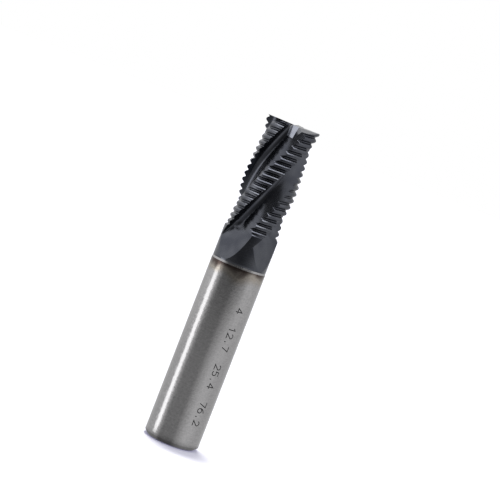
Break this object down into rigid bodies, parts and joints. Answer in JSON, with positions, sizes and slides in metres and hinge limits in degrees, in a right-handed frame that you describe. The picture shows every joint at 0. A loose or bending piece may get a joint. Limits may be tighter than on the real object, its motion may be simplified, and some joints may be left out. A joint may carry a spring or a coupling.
{
  "type": "roughing end mill",
  "caption": "Solid carbide roughing end mill: plain round shank, short neck with flute run-outs, helical flutes and ridged chip-breaking teeth, square end teeth.",
  "frame": {"origin": "centre of the shank's end face, which the tool stands on", "axes": "+Z along the axis from the shank to the cutting end; the teeth turn towards +Y from +X when they cut"},
  "size_m": [0.0126, 0.0126, 0.0762],
  "materials": {
    "coated_carbide": "ground carbide under a thin dark grey vapour-deposited coating, on the teeth, flutes and neck",
    "ground_carbide": "bare tungsten carbide, cylindrically ground, on the shank",
    "marking": "dull dark laser marking, plain numbers only"
  },
  "bodies": {
    "root": {"end_mill": "coated_carbide"}
  },
  "joints": []
}
